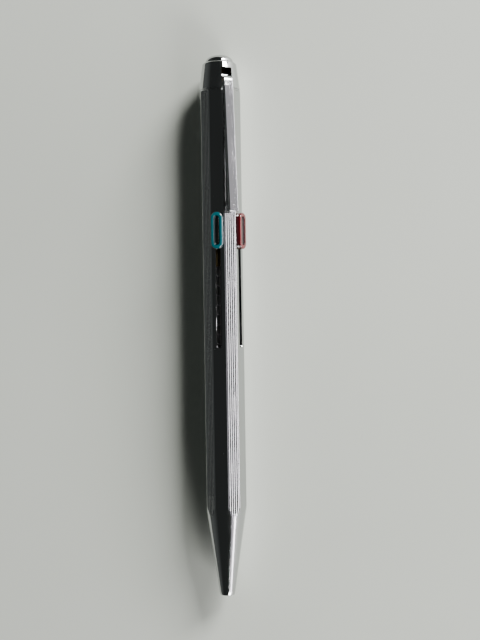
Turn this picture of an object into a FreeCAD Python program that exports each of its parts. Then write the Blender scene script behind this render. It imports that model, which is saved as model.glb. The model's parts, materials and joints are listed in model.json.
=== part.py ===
"""A pocket ball pen with three sliding colour buttons, as a parametric document.

Every piece is drawn about the pen's own axis, local +Y, with the writing end at 0 and the clip
towards local +Z. Stations along the pen are distances from the writing end. A Placement then lays
the pen along the document's Y axis, as it rests on a table: on the edge of its lowest button and on
one long edge of the barrel, which turns the clip to one side.
"""

import FreeCAD, Part
import math
import os
import re
import Sketcher
from FreeCAD import Placement, Rotation, Vector

SIZES = {
    # the whole pen
    "axis_side": 0.527,  # pen's axis beside the middle of the lying pen's width
    "press_gap": 0.02,  # radial gap of pieces pressed or screwed together
    # barrel: ten facets, every second one ribbed, and a round nose turned on its front
    "barrel_length": 128.7,
    "barrel_apothem": 5.09,
    "barrel_corner_round": 0.45,
    "barrel_bore_radius": 4.4,
    "tip_radius": 1.85,
    "tip_bore_radius": 1.35,
    "tip_edge_round": 0.25,
    "nose_taper": 0.152,  # growth of the nose's radius per millimetre of length
    "nose_bore_taper": 0.143,
    "rib_pitch": 0.57,
    "rib_groove_width": 0.34,
    "rib_groove_depth": 0.12,
    "rib_start": 19.0,
    # colour buttons
    "slider_angle": 36.0,
    "travel": 25.0,
    "button_set": 8.1,  # button's rear end behind the refill's
    "button_length": 9.3,
    "button_width": 3.1,
    "button_rise": 1.3,  # top of a button above its facet
    "button_gap": 0.08,  # underside of a button above its facet
    "button_edge_round": 0.35,
    "grip_length": 7.3,
    "grip_width": 1.46,
    "grip_drop": 0.3,  # grip plate below the button's rim
    "grip_thickness": 0.35,
    "grip_groove_width": 0.3,
    "grip_groove_depth": 0.1,
    "grip_groove_pitch": 0.72,
    # carriers: a block that slides in the bore and a neck through the barrel's slot
    "slot_side_gap": 0.05,
    "slot_end_gap": 0.4,
    "neck_width": 1.1,
    "neck_inset": 0.5,  # neck inside each end of its button
    "neck_reach": 0.5,  # neck above the facet, inside the button
    "carrier_radius": 1.6,
    "carrier_set": 7.9,  # carrier's rear end behind the refill's
    "socket_depth": 5.5,
    "socket_gap": 0.15,
    # refills
    "refill_angle": 60.0,
    "refill_offset": 2.7,  # refill axis from the pen's axis at rest
    "refill_tip_offset": 0.8,  # and where it crosses the tip opening when out
    "refill_length": 67.0,
    "refill_radius": 1.15,
    "refill_wall": 0.2,
    "nib_reach": 2.5,  # nib past the tip opening when out
    "nib_length": 21.5,
    "nib_front_radius": 0.4,
    "nib_cone_start": 3.0,
    "nib_cone_radius": 0.45,
    "nib_shank_start": 8.0,
    "nib_shank_radius": 0.78,
    "nib_plug_length": 3.0,
    "nib_channel_radius": 0.25,
    "nib_cup_depth": 0.48,
    "ball_radius": 0.35,
    "ball_show": 0.27,  # ball in front of the nib's rim
    "ball_gap": 0.01,
    # return springs
    "spring_radius": 1.375,
    "spring_wire_radius": 0.125,
    "spring_coils": 14.0,
    "spring_end_gap": 0.05,
    # inner frame
    "guide_front": 47.0,
    "guide_thickness": 2.0,
    "guide_gap": 0.1,
    "core_radius": 0.7,
    "collar_radius": 1.0,
    "collar_gap": 0.2,
    "collar_length": 2.0,
    "rear_guide_gap": 0.1,
    "rear_guide_length": 6.5,
    "sleeve_wall": 0.5,
    # cap
    "ferrule_depth": 8.2,  # ferrule inside the barrel
    "ferrule_seat": 2.1,  # ferrule inside the cap
    "ferrule_wall": 0.78,
    "ring_width": 0.45,
    "ring_step": 0.11,  # ring's radius beyond the barrel's facets
    "cap_step": 0.16,
    "cap_side_length": 6.75,
    "cap_length": 7.15,
    "cap_shoulder_radius": 4.35,
    "cap_crown_radius": 3.6,
    "cap_web": 1.0,
    "cap_inner_radius": 3.62,
    "window_set": 1.55,  # window's front end behind the cap's
    "window_length": 3.7,
    "window_width": 2.8,
    "finial_rise": 1.9,
    "finial_radius": 3.55,
    "finial_stem_radius": 2.0,
    "finial_stem_length": 1.25,
    # clip
    "clip_length": 34.9,  # from the pivot to the free end
    "clip_width": 2.65,
    "clip_thickness": 0.42,
    "clip_side_wall": 0.35,
    "clip_end_height": 2.9,  # clip top above the facet at the free end
    "clip_end_depth": 1.3,
    "clip_neck_set": 0.05,  # behind the cap's front end
    "clip_neck_height": 0.8,
    "clip_bend_set": 2.15,
    "clip_bend_height": 0.53,
    "clip_edge_round": 0.3,
    "clip_root_width": 1.8,
    "eye_set": 3.35,
    "eye_height": 2.4,  # pivot above the pen's axis
    "eye_radius": 0.8,
    "pin_radius": 0.4,
    "pin_gap": 0.03,
    "pin_length": 4.4,
    "bracket_gap": 0.05,
    "bracket_slot_width": 3.2,
    "bracket_slot_floor": 1.4,
    "clip_spring_radius": 0.6,
    "clip_spring_wire_radius": 0.09,
    "clip_spring_pitch": 0.2,
    "clip_spring_coils": 2.0,
    "foot_set": 2.1,  # foot behind the clip's free end
    "foot_radius": 0.92,
    "foot_gap": 0.06,
    "foot_top_gap": 0.06,
}

FACETS = 10
RIBBED_FACETS = 5
GROOVES_PER_FACET = 6
GRIP_GROOVES = 9
REFILLS = 3
FACET_TURN = 360 / FACETS
EDGE_TURN = 1.5 * FACET_TURN  # from the black button to the barrel edge that the pen lies on

# the pen lies on the black button's edge and one long edge of the barrel: the angle is that of
# the line which touches both their round corners
EDGE_REACH = f"((barrel_apothem - barrel_corner_round) / cos({FACET_TURN / 2} deg))"
LIFT = f"(barrel_apothem + button_rise - button_edge_round - {EDGE_REACH} * cos({EDGE_TURN} deg))"
SPREAD = f"({EDGE_REACH} * sin({EDGE_TURN} deg) - button_width / 2 + button_edge_round)"
ROUNDS = "(barrel_corner_round - button_edge_round)"
LYING_ANGLE = f"(acos({ROUNDS} / hypot({LIFT}; {SPREAD})) - atan2({SPREAD}; {LIFT}))"
AXIS_HEIGHT = f"({EDGE_REACH} * cos({LYING_ANGLE} - {EDGE_TURN} deg) + barrel_corner_round)"
AXIS_SIDE = "(-axis_side)"

# stations and places that follow from the sizes
CAP_FRONT = "(barrel_length + ring_width)"
CAP_SHOULDER = f"({CAP_FRONT} + cap_side_length)"
CAP_CROWN = f"({CAP_FRONT} + cap_length)"
PEN_LENGTH = f"({CAP_CROWN} + finial_rise)"
CAP_RADIUS = "(barrel_apothem + cap_step)"
BEYOND_BARREL = "(barrel_apothem * 1.25)"
NIB_TIP = "(travel - nib_reach)"
TUBE_FRONT = f"({NIB_TIP} + nib_length)"
REFILL_REAR = f"({NIB_TIP} + refill_length)"
BUTTON_REAR = f"({REFILL_REAR} + button_set)"
BUTTON_FRONT = f"({BUTTON_REAR} - button_length)"
BUTTON_TOP = "(barrel_apothem + button_rise)"
NECK_FRONT = f"({BUTTON_FRONT} + neck_inset)"
NECK_LENGTH = "(button_length - 2 * neck_inset)"
SLOT_RADIUS = "(neck_width / 2 + slot_side_gap)"
SLOT_FRONT = f"({NECK_FRONT} - travel - slot_end_gap)"
SLOT_REAR = f"({BUTTON_REAR} - neck_inset + slot_end_gap)"
CARRIER_FRONT = f"({REFILL_REAR} - socket_depth)"
PIVOT = f"({REFILL_REAR} - socket_depth / 2)"
GUIDE_REAR = "(guide_front + guide_thickness)"
CARRIER_REAR = f"({REFILL_REAR} + carrier_set)"
REAR_GUIDE_FRONT = f"({CARRIER_REAR} + rear_guide_gap)"
REAR_GUIDE_REAR = f"({REAR_GUIDE_FRONT} + rear_guide_length)"
FERRULE_FRONT = "(barrel_length - ferrule_depth)"
FERRULE_REAR = f"({CAP_FRONT} + ferrule_seat)"
PRESSED_RADIUS = "(barrel_bore_radius - press_gap)"
WEB_FRONT = f"({CAP_CROWN} - cap_web)"
EYE = f"({CAP_FRONT} + eye_set)"
CLIP_FRONT = f"({EYE} - clip_length)"
NECK_STATION = f"({CAP_FRONT} + clip_neck_set)"
BEND_STATION = f"({CAP_FRONT} + clip_bend_set)"
FOOT = f"({CLIP_FRONT} + foot_set)"
CLIP_TOP = "(barrel_apothem + clip_end_height)"
CLIP_NECK = "(barrel_apothem + clip_neck_height)"
CLIP_BEND = "(barrel_apothem + clip_bend_height)"

# each colour's button and refill, as turns about the pen's axis from the clip
COLOURS = {
    "blue": ("(-slider_angle)", "(-refill_angle)"),
    "red": ("slider_angle", "refill_angle"),
    "black": ("180 deg", "180 deg"),
}

doc = FreeCAD.newDocument("SliderPen")
sheet = doc.addObject("Spreadsheet::Sheet", "Sizes")
for row, (name, size) in enumerate(SIZES.items(), start=1):
    sheet.set(f"A{row}", name)
    sheet.set(f"B{row}", str(size))
    sheet.setAlias(f"B{row}", name)
doc.recompute()

ANGLES = {"slider_angle", "refill_angle"}


def bound(text):
    """The text as a document expression: each size's name becomes a reference to its cell."""

    def cell(match):
        word = match[0]
        if word not in SIZES:
            return word
        return f"Sizes.{word} * 1 deg" if word in ANGLES else f"Sizes.{word}"

    return re.sub(r"[a-z][a-z_]*", cell, text)


def value(text):
    return float(sheet.evalExpression(bound(text)))


def roll(item, path, turn):
    """Ties a placement's turn about the pen's axis to an expression."""
    setattr(item, path, Placement(Vector(), Rotation(Vector(0, 1, 0), value(turn))))
    item.setExpression(f"{path}.Rotation.Angle", bound(turn))


def place(item, side=AXIS_SIDE, station="0", height=AXIS_HEIGHT):
    """Ties a piece's own origin to a place in the lying pen."""
    item.setExpression("Placement.Base.x", bound(side))
    item.setExpression("Placement.Base.y", bound(f"{station} - {PEN_LENGTH} / 2"))
    item.setExpression("Placement.Base.z", bound(height))


def new_body(label, turn="0 deg", reach="0"):
    """An empty body on the pen's axis, or reach away from it, turned from the clip's direction."""
    body = doc.addObject("PartDesign::Body", label)
    body.Label = label
    around = f"({LYING_ANGLE} + {turn})"
    roll(body, "Placement", around)
    side = f"{AXIS_SIDE} + {reach} * sin({around})"
    place(body, side, height=f"{AXIS_HEIGHT} + {reach} * cos({around})")
    return body


def refill_body(label, turn):
    """A body whose own axis is a refill's axis at rest."""
    return new_body(label, turn, "refill_offset")


def origin_plane(body, plane):
    return next(item for item in body.Origin.OriginFeatures if item.Role == plane)


def new_sketch(body, name, plane, offset=None):
    """A sketch on one of the body's own origin planes, offset along the plane's normal."""
    sketch = body.newObject("Sketcher::SketchObject", f"{body.Label}_{name}")
    sketch.AttachmentSupport = (origin_plane(body, plane), [""])
    sketch.MapMode = "FlatFace"
    if offset:
        sketch.setExpression("AttachmentOffset.Base.z", bound(offset))
    return sketch


def section_sketch(body, name, station="0"):
    """A sketch across the pen at a station: its x is the pen's X and its y is the pen's Z."""
    return new_sketch(body, name, "XZ_Plane", f"-({station})")


def tie(sketch, kind, curve, point, text):
    """Fixes a point's distance from the sketch's origin to an expression."""
    rule = Sketcher.Constraint(kind, -1, 1, curve, point, value(text))
    sketch.setExpression(f"Constraints[{sketch.addConstraint(rule)}]", bound(text))


def tie_radius(sketch, curve, text):
    rule = Sketcher.Constraint("Radius", curve, value(text))
    sketch.setExpression(f"Constraints[{sketch.addConstraint(rule)}]", bound(text))


def outline(sketch, corners):
    """A closed outline of straight runs through corners, each a pair of expressions."""
    first = sketch.GeometryCount
    places = [Vector(value(x), value(y), 0) for x, y in corners]
    for start, end in zip(places, places[1:] + places[:1]):
        sketch.addGeometry(Part.LineSegment(start, end), False)
    for number, (x, y) in enumerate(corners):
        following = first + (number + 1) % len(corners)
        sketch.addConstraint(Sketcher.Constraint("Coincident", first + number, 2, following, 1))
        tie(sketch, "DistanceX", first + number, 1, x)
        tie(sketch, "DistanceY", first + number, 1, y)


def rectangle(sketch, left, right, low, high):
    outline(sketch, [(left, low), (right, low), (right, high), (left, high)])


def circle(sketch, radius, x="0", y="0"):
    centre = Vector(value(x), value(y), 0)
    curve = sketch.addGeometry(Part.Circle(centre, Vector(0, 0, 1), value(radius)), False)
    tie(sketch, "DistanceX", curve, 3, x)
    tie(sketch, "DistanceY", curve, 3, y)
    tie_radius(sketch, curve, radius)


def stadium(sketch, radius, low, high):
    """A slot shape along the sketch's y axis, its end arcs centred at low and high."""
    size, bottom, top = value(radius), value(low), value(high)
    up = Vector(0, 0, 1)
    first = sketch.GeometryCount
    arc_top = Part.Circle(Vector(0, top, 0), up, size)
    arc_bottom = Part.Circle(Vector(0, bottom, 0), up, size)
    sketch.addGeometry(Part.ArcOfCircle(arc_top, 0, math.pi), False)
    sketch.addGeometry(Part.LineSegment(Vector(-size, top, 0), Vector(-size, bottom, 0)), False)
    sketch.addGeometry(Part.ArcOfCircle(arc_bottom, math.pi, 2 * math.pi), False)
    sketch.addGeometry(Part.LineSegment(Vector(size, bottom, 0), Vector(size, top, 0)), False)
    for number in range(4):
        following = first + (number + 1) % 4
        sketch.addConstraint(Sketcher.Constraint("Tangent", first + number, 2, following, 1))
    for arc, place in ((first, high), (first + 2, low)):
        sketch.addConstraint(Sketcher.Constraint("PointOnObject", arc, 3, -2))
        tie(sketch, "DistanceY", arc, 3, place)
    sketch.addConstraint(Sketcher.Constraint("Equal", first, first + 2))
    tie_radius(sketch, first, radius)


def feature(body, kind, name, sketch, length=None, **settings):
    """A feature made from a sketch; length is its depth, or None for a full turn about Y."""
    made = body.newObject(f"PartDesign::{kind}", f"{body.Label}_{name}")
    made.Profile = sketch
    if length:
        made.setExpression("Length", bound(length))
    else:
        made.ReferenceAxis = (sketch, ["V_Axis"])
        made.Angle = 360
    for key, setting in settings.items():
        setattr(made, key, setting)
    doc.recompute()
    return made


def pad_rearwards(body, name, sketch, length):
    """Thickens a section sketch towards the cap."""
    return feature(body, "Pad", name, sketch, length, Reversed=True)


def turned(label, corners, **place):
    """A piece turned about its own axis from an outline of (radius, station) corners."""
    body = new_body(label, **place)
    sketch = new_sketch(body, "profile", "XY_Plane")
    outline(sketch, corners)
    feature(body, "Revolution", "turning", sketch)
    return body


def ring(label, inner, outer, front, rear, **place):
    corners = [(inner, front), (outer, front), (outer, rear), (inner, rear)]
    return turned(label, corners, **place)


def round_edges(body, name, base, chosen, radius):
    """Rounds the base feature's edges for which chosen is true."""
    names = [f"Edge{n}" for n, edge in enumerate(base.Shape.Edges, start=1) if chosen(edge)]
    if not names:
        raise RuntimeError(f"{body.Label}: no edge to round for {name}")
    made = body.newObject("PartDesign::Fillet", f"{body.Label}_{name}")
    made.Base = (base, names)
    made.setExpression("Radius", bound(radius))
    doc.recompute()
    return made


def repeat(body, kind, name, original, **settings):
    """A pattern of a feature; the body's tip is set to it, or it would not count."""
    made = body.newObject(f"PartDesign::{kind}", f"{body.Label}_{name}")
    made.Originals = [original]
    for key, setting in settings.items():
        setattr(made, key, setting)
    body.Tip = made
    doc.recompute()
    return made


def lies_along_pen(edge):
    if not isinstance(edge.Curve, Part.Line):
        return False
    return abs(abs(edge.Curve.Direction.y) - 1) < 1e-6


def make_barrel():
    body = new_body("barrel")
    sketch = section_sketch(body, "facets")
    half = FACET_TURN / 2
    corners = []
    for number in range(FACETS):
        turn = 90 + half + number * FACET_TURN
        reach = f"barrel_apothem / cos({half} deg)"
        corners.append((f"{reach} * cos({turn} deg)", f"{reach} * sin({turn} deg)"))
    outline(sketch, corners)
    bar = pad_rearwards(body, "bar", sketch, "barrel_length")
    round_edges(body, "corners", bar, lies_along_pen, "barrel_corner_round")

    sketch = section_sketch(body, "grooves", "rib_start")
    for number in range(GROOVES_PER_FACET):
        middle = f"rib_pitch * {number - (GROOVES_PER_FACET - 1) / 2}"
        left = (f"{middle} - rib_groove_width / 2", "barrel_apothem")
        floor = (middle, "barrel_apothem - rib_groove_depth")
        right = (f"{middle} + rib_groove_width / 2", "barrel_apothem")
        outline(sketch, [left, floor, right])
    grooves = feature(body, "Pocket", "ribs", sketch, "barrel_length - rib_start")
    axis = (sketch, ["N_Axis"])
    around = {"Axis": axis, "Angle": 360, "Occurrences": RIBBED_FACETS}
    repeat(body, "PolarPattern", "ribbed_facets", grooves, **around)

    sketch = new_sketch(body, "nose", "XY_Plane")
    back = (BEYOND_BARREL, f"({BEYOND_BARREL} - tip_radius) / nose_taper")
    outline(sketch, [("tip_radius", "0"), back, (BEYOND_BARREL, "0")])
    feature(body, "Groove", "nose_turning", sketch)

    sketch = new_sketch(body, "bore", "XY_Plane")
    shoulder = "(barrel_bore_radius - tip_bore_radius) / nose_bore_taper"
    opening = [("0", "0"), ("tip_bore_radius", "0"), ("barrel_bore_radius", shoulder)]
    outline(sketch, opening + [("barrel_bore_radius", "barrel_length"), ("0", "barrel_length")])
    last = feature(body, "Groove", "boring", sketch)

    def tip_rim(edge):
        round_edge = isinstance(edge.Curve, Part.Circle) and edge.BoundBox.YLength < 1e-6
        at_tip = abs(edge.BoundBox.YMin) < 1e-6
        return round_edge and at_tip and abs(edge.Curve.Radius - value("tip_radius")) < 1e-6

    last = round_edges(body, "tip_rim", last, tip_rim, "tip_edge_round")

    for colour, (turn, _) in COLOURS.items():
        sketch = new_sketch(body, f"{colour}_slot", "XY_Plane")
        roll(sketch, "AttachmentOffset", turn)
        low, high = f"{SLOT_FRONT} + {SLOT_RADIUS}", f"{SLOT_REAR} - {SLOT_RADIUS}"
        stadium(sketch, SLOT_RADIUS, low, high)
        feature(body, "Pocket", f"{colour}_slotting", sketch, BEYOND_BARREL, Reversed=True)
    return [body]


def make_inner_frame():
    inner = "core_radius + press_gap"
    guide = ring("front_guide", inner, PRESSED_RADIUS, "guide_front", GUIDE_REAR)
    sketch = section_sketch(guide, "hole", "guide_front")
    hole_radius = "refill_radius + guide_gap"
    drift = "(refill_offset - refill_tip_offset)"
    shift = f"{drift} * ({PIVOT} - travel - guide_front) / ({PIVOT} - travel)"
    stadium(sketch, hole_radius, "-refill_offset", f"{shift} - refill_offset")
    hole = feature(guide, "Pocket", "boring", sketch, "guide_thickness")
    around = {"Axis": (sketch, ["N_Axis"]), "Angle": 360, "Occurrences": REFILLS}
    repeat(guide, "PolarPattern", "refill_holes", hole, **around)

    rod = new_body("core_rod")
    sketch = section_sketch(rod, "section", "guide_front")
    circle(sketch, "core_radius")
    pad_rearwards(rod, "bar", sketch, f"{REAR_GUIDE_REAR} - guide_front")

    front = f"({CARRIER_REAR} - travel + collar_gap)"
    collar = ring("latch_collar", inner, "collar_radius", front, f"{front} + collar_length")
    rear_guide = ring("rear_guide", inner, PRESSED_RADIUS, REAR_GUIDE_FRONT, REAR_GUIDE_REAR)
    sleeve_inner = f"{PRESSED_RADIUS} - sleeve_wall"
    sleeve = ring("spacer_sleeve", sleeve_inner, PRESSED_RADIUS, REAR_GUIDE_REAR, FERRULE_FRONT)
    return [guide, rod, collar, rear_guide, sleeve]


def make_cap():
    ferrule_inner = f"{PRESSED_RADIUS} - ferrule_wall"
    ferrule = ring("cap_ferrule", ferrule_inner, PRESSED_RADIUS, FERRULE_FRONT, FERRULE_REAR)
    ring_inner, ring_outer = "barrel_bore_radius + press_gap", "barrel_apothem + ring_step"
    trim = ring("trim_ring", ring_inner, ring_outer, "barrel_length", CAP_FRONT)

    outside = [("barrel_bore_radius", CAP_FRONT), (CAP_RADIUS, CAP_FRONT)]
    outside += [("cap_shoulder_radius", CAP_SHOULDER), ("cap_crown_radius", CAP_CROWN)]
    stem_hole = "finial_stem_radius + press_gap"
    inside = [(stem_hole, CAP_CROWN), (stem_hole, WEB_FRONT), ("cap_inner_radius", WEB_FRONT)]
    inside += [("cap_inner_radius", FERRULE_REAR), ("barrel_bore_radius", FERRULE_REAR)]
    cap = turned("cap", outside + inside)
    sketch = new_sketch(cap, "window", "XY_Plane")
    low = f"{CAP_FRONT} + window_set"
    rectangle(sketch, "-window_width / 2", "window_width / 2", low, f"{low} + window_length")
    feature(cap, "Pocket", "windowing", sketch, BEYOND_BARREL, Reversed=True)
    return [ferrule, trim, cap, make_finial()]


def make_finial():
    """A spherical dome with a stem that holds it in the cap's end web."""
    body = new_body("finial")
    sketch = new_sketch(body, "profile", "XY_Plane")
    rise = value("finial_rise")
    edge = value("finial_radius")
    crown = value(CAP_CROWN)
    dome_radius = (edge * edge + rise * rise) / (2 * rise)
    top = Vector(0, crown + rise, 0)
    rim = Vector(edge, crown, 0)
    lean = Vector(1, 1, 0).normalize()
    middle = Vector(0, top.y - dome_radius, 0) + lean * dome_radius
    if middle.y < crown:
        middle = (top + rim) * 0.5 + Vector(rise, edge, 0).normalize() * 0.1
    dome = sketch.addGeometry(Part.Arc(rim, middle, top), False)
    stem = value("finial_stem_radius")
    foot = crown - value("finial_stem_length")
    places = [top, Vector(0, foot, 0), Vector(stem, foot, 0), Vector(stem, crown, 0), rim]
    lines = []
    for start, end in zip(places, places[1:]):
        lines.append(sketch.addGeometry(Part.LineSegment(start, end), False))
    for first, second in zip(lines, lines[1:]):
        sketch.addConstraint(Sketcher.Constraint("Coincident", first, 2, second, 1))
    sketch.addConstraint(Sketcher.Constraint("Coincident", dome, 2, lines[0], 1))
    sketch.addConstraint(Sketcher.Constraint("Coincident", dome, 1, lines[-1], 2))
    sketch.addConstraint(Sketcher.Constraint("PointOnObject", dome, 3, -2))
    foot_text = f"{CAP_CROWN} - finial_stem_length"
    ties = [(lines[0], 1, "0", PEN_LENGTH), (lines[1], 1, "0", foot_text)]
    ties += [(lines[2], 1, "finial_stem_radius", foot_text)]
    ties += [(lines[3], 1, "finial_stem_radius", CAP_CROWN)]
    ties += [(lines[3], 2, "finial_radius", CAP_CROWN)]
    for curve, point, x, y in ties:
        tie(sketch, "DistanceX", curve, point, x)
        tie(sketch, "DistanceY", curve, point, y)
    feature(body, "Revolution", "turning", sketch)
    return body


def make_clip_seat():
    outer = "cap_inner_radius - press_gap"
    rear = f"{WEB_FRONT} - finial_stem_length + cap_web - bracket_gap"
    bracket = new_body("clip_bracket")
    sketch = section_sketch(bracket, "section", FERRULE_REAR)
    circle(sketch, outer)
    pad_rearwards(bracket, "block", sketch, f"{rear} - {FERRULE_REAR}")
    sketch = section_sketch(bracket, "slot", FERRULE_REAR)
    half = "bracket_slot_width / 2"
    rectangle(sketch, f"-{half}", half, "bracket_slot_floor", "barrel_apothem")
    feature(bracket, "Pocket", "slotting", sketch, f"{rear} - {FERRULE_REAR}")
    sketch = new_sketch(bracket, "pin_hole", "YZ_Plane")
    circle(sketch, "pin_radius + press_gap", EYE, "eye_height")
    feature(bracket, "Pocket", "drilling", sketch, "pin_length * 2", Midplane=True)

    pin = new_body("clip_pin")
    sketch = new_sketch(pin, "section", "YZ_Plane")
    circle(sketch, "pin_radius", EYE, "eye_height")
    feature(pin, "Pad", "bar", sketch, "pin_length", Midplane=True)
    return [bracket, pin, make_clip_spring()]


def coil(body, sketch, pitch, height, axis="V_Axis"):
    made = body.newObject("PartDesign::AdditiveHelix", f"{body.Label}_coil")
    made.Profile = sketch
    made.ReferenceAxis = (sketch, [axis])
    made.Mode = 0
    made.setExpression("Pitch", bound(pitch))
    made.setExpression("Height", bound(height))
    made.Angle = 0
    doc.recompute()


def make_clip_spring():
    """A small torsion coil round the clip's pin, beside the clip's eye."""
    body = new_body("clip_spring")
    sketch = new_sketch(body, "wire", "XZ_Plane", f"-{EYE}")
    start = "clip_root_width / 2 + clip_spring_wire_radius + bracket_gap"
    circle(sketch, "clip_spring_wire_radius", start, "eye_height + clip_spring_radius")
    low = Vector(0, value("eye_height"), 0)
    line = sketch.addGeometry(Part.LineSegment(low, low + Vector(1, 0, 0)), True)
    sketch.addConstraint(Sketcher.Constraint("Horizontal", line))
    sketch.addConstraint(Sketcher.Constraint("PointOnObject", line, 1, -2))
    tie(sketch, "DistanceY", line, 1, "eye_height")
    sketch.addConstraint(Sketcher.Constraint("DistanceX", line, 1, line, 2, 1))
    height = "clip_spring_pitch * clip_spring_coils"
    coil(body, sketch, "clip_spring_pitch", height, axis="Axis0")
    return body


def make_clip():
    """A tapering channel with a narrow root that ends in an eye round the clip's pin."""
    body = new_body("clip")
    sketch = new_sketch(body, "side", "YZ_Plane")
    dive = f"({EYE} - eye_radius / 2)"
    dive_height = f"({CAP_RADIUS} - clip_thickness)"
    top = [(CLIP_FRONT, CLIP_TOP), (NECK_STATION, CLIP_NECK)]
    top += [(BEND_STATION, CLIP_BEND), (dive, dive_height)]
    under = [(f"{dive} - clip_thickness", dive_height)]
    under += [(f"{BEND_STATION} - clip_thickness / 2", f"{CLIP_BEND} - clip_thickness")]
    under += [(NECK_STATION, f"{CLIP_NECK} - clip_thickness")]
    under += [(CLIP_FRONT, f"{CLIP_TOP} - clip_end_depth")]
    outline(sketch, top + under)
    strip = feature(body, "Pad", "strip", sketch, "clip_width", Midplane=True)

    def long_top_edge(edge):
        along = isinstance(edge.Curve, Part.Line) and abs(edge.Curve.Direction.x) < 1e-6
        ends = [v.Point for v in edge.Vertexes]
        free = min(ends, key=lambda p: p.y)
        on_top = abs(free.z - value(CLIP_TOP)) < 1e-6
        return along and on_top and edge.Length > value("clip_thickness") * 10

    round_edges(body, "shoulders", strip, long_top_edge, "clip_edge_round")

    sketch = new_sketch(body, "hollow", "YZ_Plane")
    ceiling = [(CLIP_FRONT, f"{CLIP_TOP} - clip_thickness")]
    ceiling += [(NECK_STATION, f"{CLIP_NECK} - clip_thickness")]
    outline(sketch, ceiling + [(CLIP_FRONT, f"{CLIP_TOP} - clip_end_depth * 2")])
    inner_width = "clip_width - 2 * clip_side_wall"
    feature(body, "Pocket", "hollowing", sketch, inner_width, Midplane=True)

    sketch = new_sketch(body, "root", "YZ_Plane")
    near = (f"{EYE} - clip_thickness", "eye_height")
    far = (f"{EYE} + clip_thickness / 2", "eye_height")
    outline(sketch, [(f"{dive} - clip_thickness", dive_height), (dive, dive_height), far, near])
    feature(body, "Pad", "root_strip", sketch, "clip_root_width", Midplane=True)
    sketch = new_sketch(body, "eye", "YZ_Plane")
    circle(sketch, "eye_radius", EYE, "eye_height")
    feature(body, "Pad", "eye_boss", sketch, "clip_root_width", Midplane=True)
    sketch = new_sketch(body, "eye_hole", "YZ_Plane")
    circle(sketch, "pin_radius + pin_gap", EYE, "eye_height")
    feature(body, "Pocket", "eye_drilling", sketch, "clip_width", Midplane=True)
    return [body, make_clip_foot()]


def make_clip_foot():
    """A peg in the clip's channel whose rounded end rests over the ribs."""
    body = new_body("clip_foot")
    fall = f"(clip_end_height - clip_neck_height) / ({NECK_STATION} - {CLIP_FRONT})"
    top = f"({CLIP_TOP} - clip_thickness - foot_top_gap"
    top += f" - (foot_set + foot_radius) * {fall})"
    low = "(barrel_apothem + foot_gap + foot_radius)"
    sketch = new_sketch(body, "peg", "XY_Plane", low)
    circle(sketch, "foot_radius", "0", FOOT)
    feature(body, "Pad", "bar", sketch, f"{top} - {low}")
    dome = body.newObject("PartDesign::AdditiveSphere", "clip_foot_dome")
    dome.setExpression("Radius", bound("foot_radius"))
    dome.AttachmentSupport = (origin_plane(body, "XY_Plane"), [""])
    dome.MapMode = "FlatFace"
    dome.setExpression("AttachmentOffset.Base.y", bound(FOOT))
    dome.setExpression("AttachmentOffset.Base.z", bound(low))
    doc.recompute()
    return body


def make_button(colour, turn):
    body = new_body(f"{colour}_button", turn=turn)
    sketch = new_sketch(body, "base", "XY_Plane", "barrel_apothem + button_gap")
    half = "button_width / 2"
    stadium(sketch, half, f"{BUTTON_FRONT} + {half}", f"{BUTTON_REAR} - {half}")
    block = feature(body, "Pad", "block", sketch, "button_rise - button_gap")

    def top_edge(edge):
        return abs(edge.BoundBox.ZMin - value(BUTTON_TOP)) < 1e-6

    round_edges(body, "rim", block, top_edge, "button_edge_round")
    sketch = new_sketch(body, "recess", "XY_Plane", BUTTON_TOP)
    half = "grip_width / 2 + press_gap"
    middle = f"({BUTTON_REAR} - button_length / 2)"
    reach = "(grip_length / 2 - grip_width / 2)"
    stadium(sketch, half, f"{middle} - {reach}", f"{middle} + {reach}")
    feature(body, "Pocket", "recessing", sketch, "grip_drop + grip_thickness")
    sketch = new_sketch(body, "socket", "XY_Plane", "barrel_apothem + button_gap")
    side = "(neck_width / 2 + press_gap)"
    low = f"{NECK_FRONT} - press_gap"
    rectangle(sketch, f"-{side}", side, low, f"{NECK_FRONT} + {NECK_LENGTH} + press_gap")
    depth = "neck_reach - button_gap + press_gap"
    feature(body, "Pocket", "socketing", sketch, depth, Reversed=True)
    return body


def make_grip(colour, turn):
    """The ridged plate in a button's recess."""
    body = new_body(f"{colour}_grip", turn=turn)
    floor = f"{BUTTON_TOP} - grip_drop - grip_thickness"
    sketch = new_sketch(body, "plate", "XY_Plane", floor)
    middle = f"({BUTTON_REAR} - button_length / 2)"
    reach = "(grip_length / 2 - grip_width / 2)"
    stadium(sketch, "grip_width / 2", f"{middle} - {reach}", f"{middle} + {reach}")
    feature(body, "Pad", "block", sketch, "grip_thickness")
    sketch = new_sketch(body, "groove", "XY_Plane", f"{BUTTON_TOP} - grip_drop")
    first = f"({middle} - grip_groove_pitch * {(GRIP_GROOVES - 1) / 2})"
    half = "grip_groove_width / 2"
    rectangle(sketch, "-grip_width", "grip_width", f"{first} - {half}", f"{first} + {half}")
    groove = feature(body, "Pocket", "grooving", sketch, "grip_groove_depth")
    along = {"Direction": (sketch, ["V_Axis"]), "Occurrences": GRIP_GROOVES}
    pattern = repeat(body, "LinearPattern", "grooves", groove, **along)
    pattern.setExpression("Length", bound(f"grip_groove_pitch * {GRIP_GROOVES - 1}"))
    doc.recompute()
    return body


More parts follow.
